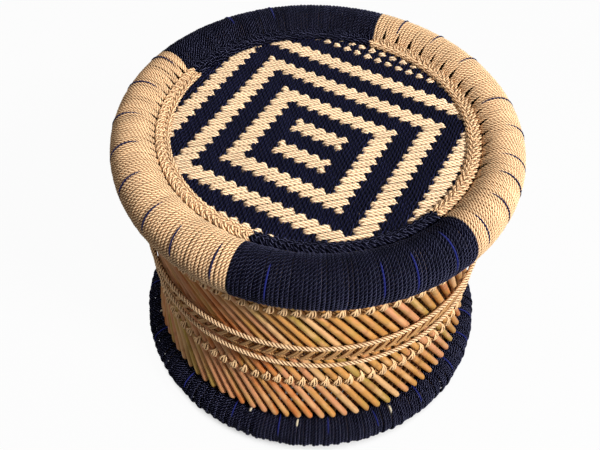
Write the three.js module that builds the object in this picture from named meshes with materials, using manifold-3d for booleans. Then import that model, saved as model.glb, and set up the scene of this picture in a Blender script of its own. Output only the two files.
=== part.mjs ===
// A round reed stool: two crossed layers of straight reeds stand between a
// wound foot ring and a wound top rim, tied by twined cords and waist ropes,
// with a woven rope seat across the rim. Millimetres, +Z up, the origin on
// the floor under the middle of the seat.

import * as THREE from 'three';
import { mergeVertices } from 'three/addons/utils/BufferGeometryUtils.js';
import Module from 'manifold-3d';

const wasm = await Module();
wasm.setup();

// Overall sizes
const stoolHeight = 319;
const rimDiameter = 406;
const rimTubeWidth = 47;
const rimTubeHeight = 52;
const baseDiameter = 410;
const baseTube = 46;
const footFlat = 0.5;

// Rope layer on the rim and the foot ring
const ropeLayer = 3.4;
const ropeCrown = 0.9;
const turnGap = 0.9;

// Seat and the plaited cord round it
const seatThickness = 6;
const seatDrop = 16;
const plaitWidth = 12.6;
const plaitHeight = 9;
const seatStep = 3;
const plaitLift = 2.5;

// Reeds
const reedDiameter = 7.6;
const reedTipLength = 7;
const layerGap = 0.6;
const footInset = 2;
const headInset = 4.9;
const reedCount = 90;
const reedsPerPanel = 6;
const twistDegrees = 40.3;

// Cords and ropes on the wall
const waistRope = 5;
const lacingCord = 3;
const knotCord = 3.2;
const knotHeight = 9;
const knotDepth = 4.6;

// Room between pieces that touch on the real stool
const clearance = 0.3;

// Heights on the wall, as shares of the wall between the foot ring and rim
const upperKnotShare = 0.94;
const upperRopeShare = 0.643;
const lowerRopeShare = 0.493;
const lowerKnotShare = 0.314;
const innerRopeShare = 0.568;
const lacingDepthShare = 0.62;
const tipWidthShare = 0.62;
const biteShare = 0.5;
const flatsShare = 0.8;

// Where one rope colour ends and the next begins, in degrees from +X
const backRightDegrees = 69.8;
const backLeftDegrees = 152;
const frontLeftDegrees = 250.4;
const frontRightDegrees = 314.6;

// Facet counts
const rimSteps = 10;
const baseSteps = 10;
const baseLoops = 22;
const rimPitchDegrees = 14;
const ropeSteps = 36;
const ropeSides = 5;
const coreSteps = 24;
const coreSides = 6;
const seatSteps = 40;
const plaitStepDegrees = 8;
const plaitSides = 6;
const outerSides = 5;
const innerSides = 4;

const colours = {
  natural: 0xe6c28f,
  navy: 0x15172b,
  naturalDark: 0xc79a62,
  grass: 0xb1935a,
  reeds: [0xdfa765, 0xe5b579, 0xd9a487, 0xc9a052, 0xe0ad6c],
  innerReeds: 0xb08450,
};

const roughness = { cord: 0.85, reed: 0.55, innerReed: 0.6 };

const rad = THREE.MathUtils.degToRad;
const full = 2 * Math.PI;

// Derived sizes of the two rings. Their tubes have a flat facet at the top and
// bottom, so the corners stand a little further out than the tube's height.
const rim = {
  major: (rimDiameter - rimTubeWidth) / 2,
  half: rimTubeWidth / 2,
  rise: rimTubeHeight / 2 / Math.cos(Math.PI / rimSteps),
  z: stoolHeight - rimTubeHeight / 2,
};
const base = {
  major: (baseDiameter - baseTube) / 2,
  half: baseTube / 2,
  rise: baseTube / 2 / Math.cos(Math.PI / baseSteps),
  z: baseTube / 2 - footFlat,
};
const rimUnderside = rim.z - rimTubeHeight / 2;
const baseTop = base.z + baseTube / 2;
const wallHeight = rimUnderside - baseTop;
const reedRadius = reedDiameter / 2;
const twist = rad(twistDegrees);

// A point on a ring's tube: turn is the way round the stool, angle the way
// round the tube, and inset the depth below the tube's outside.
function ringPoint(ring, turn, angle, inset) {
  const radius = ring.major + (ring.half - inset) * Math.cos(angle);
  const z = ring.z + (ring.rise - inset) * Math.sin(angle);
  return new THREE.Vector3(radius * Math.cos(turn), radius * Math.sin(turn), z);
}

// Closed skin through equal rings of points, with flat ends unless it closes
function loft(rings, closed = false) {
  const sides = rings[0].length;
  const index = [];
  const spans = closed ? rings.length : rings.length - 1;
  for (let i = 0; i < spans; i += 1) {
    const here = i * sides;
    const next = ((i + 1) % rings.length) * sides;
    for (let j = 0; j < sides; j += 1) {
      const k = (j + 1) % sides;
      index.push(here + j, here + k, next + k);
      index.push(here + j, next + k, next + j);
    }
  }
  if (!closed) {
    const last = (rings.length - 1) * sides;
    for (let j = 1; j < sides - 1; j += 1) {
      index.push(0, j + 1, j);
      index.push(last, last + j, last + j + 1);
    }
  }
  const geometry = new THREE.BufferGeometry();
  geometry.setFromPoints(rings.flat());
  geometry.setIndex(index);
  return geometry;
}

function toSolid(geometry) {
  const bare = geometry.clone();
  bare.deleteAttribute('normal');
  bare.deleteAttribute('uv');
  const merged = mergeVertices(bare);
  return new wasm.Manifold(new wasm.Mesh({
    numProp: 3,
    vertProperties: new Float32Array(merged.attributes.position.array),
    triVerts: new Uint32Array(merged.index.array),
  }));
}

function toGeometry(solid) {
  const mesh = solid.getMesh();
  const geometry = new THREE.BufferGeometry();
  geometry.setAttribute('position', new THREE.BufferAttribute(mesh.vertProperties, 3));
  geometry.setIndex(new THREE.BufferAttribute(mesh.triVerts, 1));
  return geometry;
}

const stool = new THREE.Group();

function addPart(name, geometry, colour, rough = roughness.cord) {
  geometry.computeVertexNormals();
  const material = new THREE.MeshStandardMaterial({ color: colour, roughness: rough, metalness: 0 });
  const mesh = new THREE.Mesh(geometry, material);
  mesh.name = name;
  stool.add(mesh);
  return mesh;
}

// The straight reeds of one layer run between a foot circle and a head
// circle, turned against each other by the twist.
const lean = Math.atan2(2 * base.major * Math.sin(twist / 2), wallHeight);
const endRise = reedRadius * Math.sin(lean) + clearance;
const outerLayer = {
  foot: base.major + footInset,
  head: rim.major + headInset,
  low: baseTop + endRise,
  high: rimUnderside - endRise,
  side: 1,
};
const layerStep = (reedDiameter + layerGap) / Math.cos(twist / 2);
const innerLayer = {
  foot: outerLayer.foot - layerStep,
  head: outerLayer.head - layerStep,
  low: outerLayer.low,
  high: outerLayer.high,
  side: -1,
};

function wallLevel(share) {
  return baseTop + share * wallHeight;
}

// Centre of a reed's axis at height z. At turn 0 the reed's foot stands half
// a twist ahead and its head half a twist behind, or the other way round.
function reedAxis(layer, turn, z) {
  const ahead = turn + layer.side * twist / 2;
  const behind = turn - layer.side * twist / 2;
  const foot = new THREE.Vector3(layer.foot * Math.cos(ahead), layer.foot * Math.sin(ahead), layer.low);
  const head = new THREE.Vector3(layer.head * Math.cos(behind), layer.head * Math.sin(behind), layer.high);
  return foot.lerp(head, (z - layer.low) / (layer.high - layer.low));
}

function wallRadius(layer, z) {
  const point = reedAxis(layer, 0, z);
  return Math.hypot(point.x, point.y);
}

function wallTurn(layer, turn, z) {
  const point = reedAxis(layer, 0, z);
  return turn + Math.atan2(point.y, point.x);
}

// Reed: a round stick; the foot of an outer one narrows to a rounded tip
function reed(layer, turn, sides, tapered) {
  const foot = reedAxis(layer, turn, layer.low);
  const head = reedAxis(layer, turn, layer.high);
  const along = head.clone().sub(foot).normalize();
  const out = new THREE.Vector3(foot.x + head.x, foot.y + head.y, 0).normalize();
  const across = along.clone().cross(out).normalize();
  const face = across.clone().cross(along);
  const ringAt = (centre, radius) => {
    const ring = [];
    for (let j = 0; j < sides; j += 1) {
      const angle = full * j / sides;
      const point = centre.clone();
      point.addScaledVector(face, radius * Math.cos(angle));
      point.addScaledVector(across, radius * Math.sin(angle));
      ring.push(point);
    }
    return ring;
  };
  if (!tapered) {
    return loft([ringAt(foot, reedRadius), ringAt(head, reedRadius)]);
  }
  const shoulder = foot.clone().addScaledVector(along, reedTipLength);
  return loft([
    ringAt(foot, reedRadius * tipWidthShare),
    ringAt(shoulder, reedRadius),
    ringAt(head, reedRadius),
  ]);
}

// Wedge section of a cord: a flat back at one radius, standing half of its
// height each side of z, and a ridge at another
function wedgeSection(turn, z, back, ridge, half) {
  const side = Math.sign(ridge - back);
  const corners = [[side * half, back], [0, ridge], [-side * half, back]];
  return corners.map(([up, radius]) => {
    return new THREE.Vector3(radius * Math.cos(turn), radius * Math.sin(turn), z + up);
  });
}

// Ring of knotted cord: thick at each knot and thin between two of them
function knotRing(knots, halfStep, z, inner) {
  const rings = [];
  for (const turn of knots) {
    rings.push(wedgeSection(turn, z, inner, inner + knotDepth, knotHeight / 2));
    rings.push(wedgeSection(turn + halfStep, z, inner, inner + knotCord, knotCord / 2));
  }
  return loft(rings, true);
}

// Panel of neighbouring reeds, held together by its stretch of twined cord
const reedPitch = full / reedCount;
const panelCount = reedCount / reedsPerPanel;
const lowerKnotLevel = wallLevel(lowerKnotShare);

function reedPanel(layer, panel, sides) {
  const turns = [];
  for (let i = 0; i < reedsPerPanel; i += 1) {
    turns.push((panel * reedsPerPanel + i) * reedPitch);
  }
  const radius = wallRadius(layer, lowerKnotLevel);
  const bite = reedRadius * biteShare;
  const outside = layer === outerLayer;
  const back = outside ? radius + bite : radius - bite;
  const ridge = outside ? back + knotDepth : back - knotCord;
  const cut = clearance / radius;
  const first = wallTurn(layer, turns[0], lowerKnotLevel) - reedPitch / 2 + cut;
  const last = first + reedsPerPanel * reedPitch - 2 * cut;
  const rings = [];
  for (let i = 0; i < reedsPerPanel; i += 1) {
    const knot = wallTurn(layer, turns[i], lowerKnotLevel);
    if (i > 0) {
      rings.push(wedgeSection(knot - reedPitch / 2, lowerKnotLevel, back, ridge, knotCord / 2));
    }
    if (outside) {
      rings.push(wedgeSection(knot, lowerKnotLevel, back, ridge, knotHeight / 2));
    }
  }
  rings.unshift(wedgeSection(first, lowerKnotLevel, back, ridge, knotCord / 2));
  rings.push(wedgeSection(last, lowerKnotLevel, back, ridge, knotCord / 2));
  let panelSolid = toSolid(loft(rings));
  for (const turn of turns) {
    panelSolid = panelSolid.add(toSolid(reed(layer, turn, sides, outside)));
  }
  return toGeometry(panelSolid);
}

for (let panel = 0; panel < panelCount; panel += 1) {
  const number = String(panel + 1).padStart(2, '0');
  const tint = colours.reeds[panel % colours.reeds.length];
  const outerPanel = reedPanel(outerLayer, panel, outerSides);
  const innerPanel = reedPanel(innerLayer, panel, innerSides);
  addPart(`outer_reeds_${number}`, outerPanel, tint, roughness.reed);
  addPart(`inner_reeds_${number}`, innerPanel, colours.innerReeds, roughness.innerReed);
}

// Rope ring round the wall, clear of the reeds by the clearance
function outerRopeRadius(z, thickness) {
  const widest = Math.max(
    wallRadius(outerLayer, z - thickness / 2),
    wallRadius(outerLayer, z + thickness / 2),
  );
  return (widest + reedRadius + clearance) / Math.cos(Math.PI / ropeSteps) + thickness / 2;
}

function ropeRing(radius, z, thickness) {
  const geometry = new THREE.TorusGeometry(radius, thickness / 2, ropeSides, ropeSteps);
  return geometry.translate(0, 0, z);
}

const upperRopeLevel = wallLevel(upperRopeShare);
const lowerRopeLevel = wallLevel(lowerRopeShare);
addPart(
  'upper_waist_rope',
  ropeRing(outerRopeRadius(upperRopeLevel, waistRope), upperRopeLevel, waistRope),
  colours.natural,
);
addPart(
  'lower_waist_rope',
  ropeRing(outerRopeRadius(lowerRopeLevel, waistRope), lowerRopeLevel, waistRope),
  colours.natural,
);
const innerRopeLevel = wallLevel(innerRopeShare);
const innerRopeRadius = wallRadius(innerLayer, innerRopeLevel) - reedRadius - clearance - waistRope / 2;
addPart('inner_waist_rope', ropeRing(innerRopeRadius, innerRopeLevel, waistRope), colours.naturalDark);

// Upper knot row: one knot on each outer reed, close under the rim
const upperKnotLevel = wallLevel(upperKnotShare);
const widestAtKnots = Math.max(
  wallRadius(outerLayer, upperKnotLevel - knotHeight / 2),
  wallRadius(outerLayer, upperKnotLevel + knotHeight / 2),
);
const halfStep = reedPitch / 2;
const upperKnotInner = (widestAtKnots + reedRadius + clearance) / Math.cos(halfStep / 2);
const upperKnots = [];
for (let i = 0; i < reedCount; i += 1) {
  upperKnots.push(wallTurn(outerLayer, i * reedPitch, upperKnotLevel));
}
const upperKnotRing = knotRing(upperKnots, halfStep, upperKnotLevel, upperKnotInner);
addPart('upper_knot_cord', upperKnotRing, colours.natural);

// Waist lacing: a zigzag cord hung from the upper waist rope, one slant to
// each reed, clear of both ropes
const lacingTop = upperRopeLevel - waistRope / 2 - clearance - lacingCord;
const lacingRoom = lacingTop - lowerRopeLevel - waistRope / 2 - clearance - lacingCord;
const lacingLow = lacingTop - lacingRoom * lacingDepthShare;
const lacingInner = (wallRadius(outerLayer, lacingTop) + reedRadius + clearance) / Math.cos(halfStep);
const lacingRings = [];
for (let i = 0; i < reedCount; i += 1) {
  const z = i % 2 === 0 ? lacingTop : lacingLow;
  lacingRings.push(wedgeSection(i * reedPitch, z, lacingInner, lacingInner + lacingCord, lacingCord));
}
addPart('waist_lacing', loft(lacingRings, true), colours.natural);

// Winding: one band of rope turns led round a ring's core, from the inside of
// the ring over its underside. Its first and last loops taper, so that it
// starts and ends square across the ring. A crowned band bulges between its
// edges; the other is plain, so that it can be cut flat to stand on.
function winding(ring, from, to, loops, steps, crowned) {
  const gap = turnGap / (ring.major - ring.half);
  const pitch = (to - from) / (loops - 1);
  const limit = (value) => Math.min(Math.max(value, from), to);
  const shoulder = crowned ? ropeCrown : 0;
  const rings = [];
  let leastGap = Infinity;
  for (let i = 1; i < loops * steps; i += 1) {
    const loop = i / steps;
    const angle = Math.PI + full * loop;
    const edge = limit(from + pitch * loop);
    const low = limit(from + pitch * (loop - 1)) + gap / 2;
    const high = edge - gap / 2;
    const lowSide = [ringPoint(ring, low, angle, ropeLayer), ringPoint(ring, low, angle, shoulder)];
    const highSide = [ringPoint(ring, high, angle, shoulder), ringPoint(ring, high, angle, ropeLayer)];
    const crown = crowned ? [ringPoint(ring, (low + high) / 2, angle, 0)] : [];
    rings.push([...lowSide, ...crown, ...highSide]);
    if (loop < loops - 1) {
      const across = ringPoint(ring, edge + gap / 2, angle, ropeLayer);
      leastGap = Math.min(leastGap, across.distanceTo(highSide[1]));
    }
  }
  return { geometry: loft(rings), leastGap, pitch };
}

// Core hoop under a winding. Its corners seldom lie under the middle of a
// facet both ways at once, so it keeps only a share of the two sags clear.
function core(ring, steps, pitch) {
  const reach = ring.major + ring.half;
  const flats = ring.half * (1 - Math.cos(Math.PI / steps)) + reach * (1 - Math.cos(pitch / 2));
  const inset = ropeLayer + clearance + flats * flatsShare;
  const halfSide = Math.PI / coreSides;
  const rings = [];
  for (let i = 0; i < coreSteps; i += 1) {
    const section = [];
    for (let j = 0; j < coreSides; j += 1) {
      section.push(ringPoint(ring, full * i / coreSteps, -full * j / coreSides - halfSide, inset));
    }
    rings.push(section);
  }
  return loft(rings, true);
}

// The four rope colours of the rim, each from one colour edge to the next
const backRight = rad(backRightDegrees);
const backLeft = rad(backLeftDegrees);
const frontLeft = rad(frontLeftDegrees);
const frontRight = rad(frontRightDegrees);
const stretches = [
  { name: 'right_natural', from: frontRight - full, to: backRight, colour: colours.natural },
  { name: 'back_navy', from: backRight, to: backLeft, colour: colours.navy },
  { name: 'left_natural', from: backLeft, to: frontLeft, colour: colours.natural },
  { name: 'front_navy', from: frontLeft, to: frontRight, colour: colours.navy },
];

let rimPitch = 0;
for (const stretch of stretches) {
  const loops = 1 + Math.round((stretch.to - stretch.from) / rad(rimPitchDegrees));
  const wound = winding(rim, stretch.from, stretch.to, loops, rimSteps, true);
  addPart(`rim_winding_${stretch.name}`, wound.geometry, stretch.colour);
  console.log(`rim_winding_${stretch.name}: ${loops} loops, least gap ${wound.leastGap.toFixed(2)} mm`);
  rimPitch = Math.max(rimPitch, wound.pitch);
}
addPart('rim_core', core(rim, rimSteps, rimPitch), colours.grass);

// Foot ring: the winding is cut flat where the stool stands on it
const footWound = winding(base, 0, full, baseLoops, baseSteps, false);
console.log(`foot_winding: ${baseLoops} loops, least gap ${footWound.leastGap.toFixed(2)} mm`);
const aboveFloor = new THREE.BoxGeometry(2 * baseDiameter, 2 * baseDiameter, baseDiameter);
aboveFloor.translate(0, 0, baseDiameter / 2);
const footSolid = toSolid(footWound.geometry).intersect(toSolid(aboveFloor));
addPart('foot_winding', toGeometry(footSolid), colours.navy);
addPart('foot_core', core(base, baseSteps, footWound.pitch), colours.grass);

// Plaited cord in the groove between the rim winding and the seat
const seatTop = stoolHeight - seatDrop;
const plaitLevel = seatTop + plaitLift;
const grooveRise = Math.sqrt(1 - ((plaitLevel - rim.z) / rim.rise) ** 2);
const plait = {
  major: rim.major - rim.half * grooveRise - 2 * clearance - plaitWidth / 2,
  half: plaitWidth / 2,
  rise: plaitHeight / 2,
  z: plaitLevel,
};
const plaitStep = rad(plaitStepDegrees);
for (const stretch of stretches) {
  const gap = clearance / (plait.major - plait.half);
  const from = stretch.from + gap;
  const to = stretch.to - gap;
  const steps = Math.round((stretch.to - stretch.from) / plaitStep);
  const rings = [];
  for (let i = 0; i <= steps; i += 1) {
    const turn = from + (to - from) * i / steps;
    const section = [];
    for (let j = 0; j < plaitSides; j += 1) {
      section.push(ringPoint(plait, turn, -full * j / plaitSides, 0));
    }
    rings.push(section);
  }
  addPart(`seat_plait_${stretch.name}`, loft(rings), stretch.colour);
}

// Woven seat: flat inside the plait, stepping down to pass under it, its edge
// against the rim winding
const plaitSag = plait.major * (1 - Math.cos(plaitStep / 2));
const seatBottom = seatTop - seatThickness;
const seatFlat = plait.major - plait.half - plaitSag - clearance;
const rimFacet = full / rimSteps;
const facetClimb = (seatBottom - rim.z) / (rim.rise * Math.sin(rimFacet));
const seatEdge = rim.major - rim.half - clearance + facetClimb * rim.half * (1 - Math.cos(rimFacet));
const seatEdgeTop = plait.z - plait.rise - clearance;
const seatProfile = [
  new THREE.Vector2(0, seatBottom),
  new THREE.Vector2(seatEdge, seatBottom),
  new THREE.Vector2(seatEdge, seatEdgeTop),
  new THREE.Vector2(seatFlat + seatStep, seatEdgeTop),
  new THREE.Vector2(seatFlat, seatTop),
  new THREE.Vector2(0, seatTop),
];
const seat = new THREE.LatheGeometry(seatProfile, seatSteps).rotateX(Math.PI / 2);
addPart('woven_seat', seat, colours.naturalDark);

export default stool;
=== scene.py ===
"""Dresses a round reed stool: cord windings, plaited edge, woven seat and tied reeds.

Every piece is made from mesh code in metres, +Z up, with the front of the stool
towards -Y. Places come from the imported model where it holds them, and the other
sizes and colours are the properties in the sidebar's Stool tab.
"""

import math

import bpy
import numpy as np
from mathutils import Matrix, Vector


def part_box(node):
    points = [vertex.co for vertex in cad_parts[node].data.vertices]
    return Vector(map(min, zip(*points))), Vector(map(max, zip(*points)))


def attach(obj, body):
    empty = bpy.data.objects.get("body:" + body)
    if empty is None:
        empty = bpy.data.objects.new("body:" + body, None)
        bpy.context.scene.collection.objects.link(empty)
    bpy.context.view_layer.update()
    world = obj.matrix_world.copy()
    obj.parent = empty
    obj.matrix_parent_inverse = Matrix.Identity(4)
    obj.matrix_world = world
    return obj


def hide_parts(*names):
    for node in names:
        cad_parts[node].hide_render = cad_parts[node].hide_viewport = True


bl_info = {
    "name": "Round Reed Stool",
    "version": (1, 0, 0),
    "blender": (4, 5, 0),
    "location": "3D View > Sidebar > Stool",
    "description": "Builds the cords, plait, woven seat and reeds of a round stool",
    "category": "Add Mesh",
}

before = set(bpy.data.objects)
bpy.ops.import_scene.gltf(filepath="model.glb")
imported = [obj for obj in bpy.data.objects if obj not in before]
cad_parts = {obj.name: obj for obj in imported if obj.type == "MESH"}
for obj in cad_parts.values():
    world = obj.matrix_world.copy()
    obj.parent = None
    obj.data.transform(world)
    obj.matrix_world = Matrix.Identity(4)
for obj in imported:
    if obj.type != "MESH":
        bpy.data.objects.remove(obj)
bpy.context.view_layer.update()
BODY = "root"
PANELS = 15
UP = np.array([0.0, 0.0, 1.0])
WHITE = (1, 1, 1, 1)

# The rim's colour stretches: degrees from +X at which each starts and ends, how wide its
# plait swings as a share of the widest, turns gathered in each pleat of its winding, and
# the tube angle in degrees at which the pleats start
STRETCHES = {
    "right_natural": (-44.9, 69.8, 1, 5, 118),
    "back_navy": (69.8, 150.0, 0.85, 0, 120),
    "left_natural": (150.0, 249.2, 1, 3, 121),
    "front_navy": (249.2, 315.1, 0.85, 0, 120),
}

# Coloured threads laid in between turns of the cord: degrees from +X round the stool,
# and the tube angle in degrees at which each thread's inner end dives in
RIM_THREADS = {
    "right_natural": (
        (-40.4, 92), (-30, 97), (-20.4, 101), (-12.7, 115), (0.3, 97), (12.6, 148),
        (33.6, 118), (48, 121), (61.2, 148),
    ),
    "back_navy": ((109, 120), (124, 110)),
    "left_natural": (
        (154.3, 133), (167.6, 143), (182.2, 114), (195.4, 122), (208.3, 107), (222.1, 103),
        (232.6, 96), (245.1, 100),
    ),
    "front_navy": ((259.1, 84), (287.5, 90), (296.2, 98), (307.6, 112)),
}
FOOT_THREADS = (
    12, 30, 52, 75, 96, 118, 140, 160, 182, 204,
    226, 245.6, 261.5, 277.6, 293.8, 311, 328, 341, 351,
)
# Pale thread ends on the foot ring: degrees round the stool and length in tube degrees
FOOT_PALE_ENDS = ((40, 20), (128, 24), (196, 18), (251, 14), (267.4, 24), (299.5, 40))

# How often each reed colour comes
REED_TINTS = {"honey": 0.38, "pale": 0.18, "rose": 0.12, "olive": 0.26, "amber": 0.06}

# Seeds of the random draws
SEEDS = {
    "rim": 100, "rim threads": 7, "foot": 200, "foot threads": 9, "plait": 1000,
    "seat rows": 31, "seat columns": 32, "outer_reeds": 51, "inner_reeds": 52,
    "knots": 61, "lacing": 71,
}


def draws(what, more=0):
    """Random draws that come out the same each time."""
    return np.random.default_rng(int(SEEDS[what] + more))


def length(name, description, default, least=0):
    """A size or a place in metres."""
    return bpy.props.FloatProperty(
        name=name, description=description, default=default, min=least, precision=4,
        unit="LENGTH", subtype="DISTANCE",
    )


def factor(name, description, default, least, most):
    """A share of another size."""
    return bpy.props.FloatProperty(
        name=name, description=description, default=default, min=least, max=most,
        subtype="FACTOR",
    )


def angle(name, description, degrees):
    """An angle that the sidebar shows in degrees."""
    return bpy.props.FloatProperty(
        name=name, description=description, default=math.radians(degrees),
        unit="ROTATION", subtype="ANGLE",
    )


def paint(name, description, red, green, blue):
    """A colour given as it looks on a screen, each part from 0 to 255."""
    return bpy.props.FloatVectorProperty(
        name=name, description=description, size=3, min=0, max=1,
        default=(red / 255, green / 255, blue / 255), subtype="COLOR_GAMMA",
    )


class StoolRings(bpy.types.PropertyGroup):
    """Sizes of the rim, the foot ring and the cord wound on them."""

    rim_width: length("Rim width", "Width of the wound rim across its tube", 0.047)
    foot_width: length("Foot width", "Width of the wound foot ring across its tube", 0.046)
    cord: length("Winding cord", "Diameter of the cord wound on both rings", 0.0041)
    pitch: length("Winding pitch", "Distance between turns on the outside of a ring", 0.0039)
    lay: length("Cord lay", "Length in which a strand goes once round the cord", 0.0105)
    flatness: factor(
        "Cord flatness", "Height of a wound cord as a share of its diameter", 0.78, 0.3, 1)
    thread: length("Thread", "Diameter of the coloured threads", 0.0015)
    pile: length("Pile", "How far crowded turns ride up inside a ring", 0.0009)
    rim_lump: length("Rim unevenness", "Height of the slow waves along the rim", 0.00025)
    foot_lump: length("Foot unevenness", "Height of the slow waves along the foot", 0.0012)
    bundle: length("Foot bundles", "Depth of the valleys between bundles of turns", 0.0017)


class StoolSeat(bpy.types.PropertyGroup):
    """Sizes of the woven seat and the plait round it."""

    natural_cord: length("Natural cord", "Diameter of the pale seat cord", 0.0043)
    navy_cord: length("Navy cord", "Diameter of the dark seat cord", 0.0046)
    lay: length("Seat lay", "Length in which a strand goes once round a seat cord", 0.0135)
    row: length("Row pitch", "Distance between pairs of pale cords", 0.0087)
    column: length("Column pitch", "Distance between pairs of dark cords", 0.0084)
    row_turn: angle("Row direction", "Direction of the pale cords from +X", 15.9)
    column_turn: angle("Column direction", "Direction of the dark cords from +X", -70.6)
    middle_x: length("Pattern middle X", "Middle of the diamonds", -0.0076, -1)
    middle_y: length("Pattern middle Y", "Middle of the diamonds", -0.0234, -1)
    rise: length("Float rise", "How far a cord lies above or below the middle", 0.0024)
    tuck: factor(
        "Float tuck", "Share of a crossing that a pale float ends short of its edge",
        0.16, 0, 0.4)
    pairing: factor(
        "Pairing", "Half the distance within a pair of pale cords, as a share of the pitch",
        0.225, 0.1, 0.25)
    flat: length("Flat radius", "Radius where the cords start to dip under the plait", 0.142)
    reach: length("Seat reach", "Radius at which the seat cords end", 0.1545)
    dip: length("Dip", "How far the cords dip under the plait", 0.0055)
    plait_cord: length("Plait cord", "Diameter of the plaited cords", 0.0037)
    plait_lay: length("Plait lay", "Length in which a strand goes once round its cord", 0.015)
    plait_pitch: length("Plait pitch", "Length of one full round of the plait", 0.0225)
    plait_swing: length("Plait swing", "How far a strand swings to each side", 0.0041)
    plait_rise: length("Plait rise", "How far a strand rises and falls", 0.0016)


class StoolWall(bpy.types.PropertyGroup):
    """Sizes of the reeds and of the cords that tie them."""

    reeds: bpy.props.IntProperty(
        name="Reeds", description="Reeds in each of the two layers", default=90, min=3,
    )
    reed: length("Reed", "Diameter of a reed", 0.0076)
    tip: length("Tip", "Length of the rounded tip of a reed", 0.0055)
    foot_radius: length("Foot radius", "Radius of the outer reeds' axes at the foot", 0.184)
    head_radius: length("Head radius", "Radius of the outer reeds' axes at the rim", 0.1844)
    layer_step: length("Layer step", "How much further in the inner reeds stand", 0.00874)
    twist: angle("Twist", "How far the head of a reed is turned from its foot", 40.3)
    overlap: length("Overlap", "How far the reeds run on into the rim winding", 0.003)
    rope: length("Waist rope", "Diameter of the waist ropes", 0.0047)
    rope_lay: length("Rope lay", "Length in which a rope strand goes once round", 0.0125)
    knot_cord: length("Knot cord", "Diameter of the cord in the knots", 0.0021)
    knot_height: length("Knot height", "How far the wraps climb across a reed", 0.0054)
    knot_lay: length("Knot lay", "Length of one turn of the knot cord's strands", 0.006)
    lacing_cord: length("Lacing cord", "Diameter of the cord in the waist lacing", 0.0029)


class StoolColours(bpy.types.PropertyGroup):
    """Colours of the cords, threads and reeds."""

    natural: paint("Natural cord", "Pale cord where it is full and smooth", 255, 217, 170)
    seat_natural: paint("Natural seat cord", "Pale seat cord where it is full", 255, 224, 184)
    # Painted shade: the pale cords take this colour in the grooves between their strands and on
    # their sides
    natural_groove_shade: paint("Natural cord, deep", "Pale cord between its strands", 122, 70, 34)
    # Painted highlight: the navy cords take this colour only on their strand crests, not as
    # their own colour
    navy: paint("Navy cord", "Dark cord where it is full and smooth", 172, 174, 224)
    # The navy cords' own dark colour, also painted shade in their strand grooves
    navy_body_and_groove_shade: paint("Navy cord, deep", "Dark cord between its strands", 3, 3, 13)
    # Painted highlight on the strand crests of the navy seat cords
    seat_navy_highlight: paint("Navy seat cord", "Dark seat cord where it is full", 84, 88, 148)
    blue_thread: paint("Blue thread", "Thread laid in the dark windings", 22, 30, 106)
    ink_thread: paint("Ink thread", "Thread laid in the pale windings", 14, 16, 58)
    # Painted shade: a darker copy of the natural cord, for the lacing and the knot strands that
    # lie in shade
    worn: paint("Worn cord", "Cord of the lacing and between the knots", 198, 152, 100)
    # A little painted shade: a slightly darker copy of the natural cord, which dims the knots
    knot: paint("Knot cord", "Cord of the small knots", 238, 198, 148)
    thread_end: paint("Thread end", "Short pale ends on the foot ring", 206, 194, 166)
    honey: paint("Honey reed", "The commonest reed", 208, 147, 76)
    pale: paint("Pale reed", "The palest reeds", 232, 182, 126)
    rose: paint("Rose reed", "Pinkish reeds", 210, 144, 100)
    olive: paint("Olive reed", "Greenish reeds", 180, 146, 68)
    amber: paint("Amber reed", "The most orange reeds", 198, 116, 58)
    # Painted shade: the inner reeds are dark because they are seen in shade through the gaps
    # between the outer reeds
    inner: paint("Inner reed", "Reeds of the inner layer", 104, 66, 32)
    blotch: paint("Reed blotch", "Brown spots and cut ends on the reeds", 120, 74, 40)
    grass: paint("Core grass", "Dry grass under the windings", 92, 70, 42)
    floor: paint("Floor", "Floor under the stool", 176, 176, 176)


# Mesh making

ROUND_SIDES = 6
# The crest value of a round cord: its middle, and how far it goes up outside. The cord finishes
# turn it into painted light on the outward face and painted shade on the sides and back
ROUND_PAINTED_SHADING = 0.1
ROUND_PAINTED_SHADING_SWING = 0.6
# Strands of a rope are this much thicker than strands that only touch
STRAND_PRESS = 1.12


class Draft:
    """Points, faces and per-point values of one mesh while it is being made."""

    def __init__(self):
        self.points = []
        self.faces = []
        self.values = {}
        self.count = 0

    def add_tube(self, rings, **values):
        """Adds a tube through rings of points, shaped (rings, sides, 3)."""
        total, sides = rings.shape[:2]
        index = self.count + np.arange(total * sides).reshape(total, sides)
        here, there = index[:-1], index[1:]
        quads = np.stack([
            here, np.roll(here, -1, axis=1), np.roll(there, -1, axis=1), there,
        ], axis=-1)
        self.faces.extend(quads.reshape(-1, 4).tolist())
        self.faces.append(index[0, ::-1].tolist())
        self.faces.append(index[-1].tolist())
        self.points.append(rings.reshape(-1, 3))
        for name, value in values.items():
            spread = np.broadcast_to(np.asarray(value, dtype=float), (total, sides))
            self.values.setdefault(name, []).append(spread.reshape(-1))
        self.count += total * sides

    def mesh(self, name):
        """The finished mesh, smooth, with its values as point attributes."""
        mesh = bpy.data.meshes.new(name)
        points = np.concatenate(self.points)
        mesh.from_pydata(points.tolist(), [], self.faces)
        for key, parts in self.values.items():
            layer = mesh.attributes.new(key, "FLOAT", "POINT")
            layer.data.foreach_set("value", np.concatenate(parts).astype(np.float32))
        mesh.shade_smooth()
        return mesh


def add_piece(name, draft, finish, slot, *nodes):
    """Puts a drafted mesh in the scene in place of the nodes that it stands for."""
    mesh = draft.mesh(name)
    mesh.materials.append(material(finish))
    piece = bpy.data.objects.new(name, mesh)
    bpy.context.scene.collection.objects.link(piece)
    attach(piece, BODY)
    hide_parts(*nodes)
    return piece


def unit(vectors):
    """The vectors scaled to a length of one."""
    return vectors / np.linalg.norm(vectors, axis=-1, keepdims=True)


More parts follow.
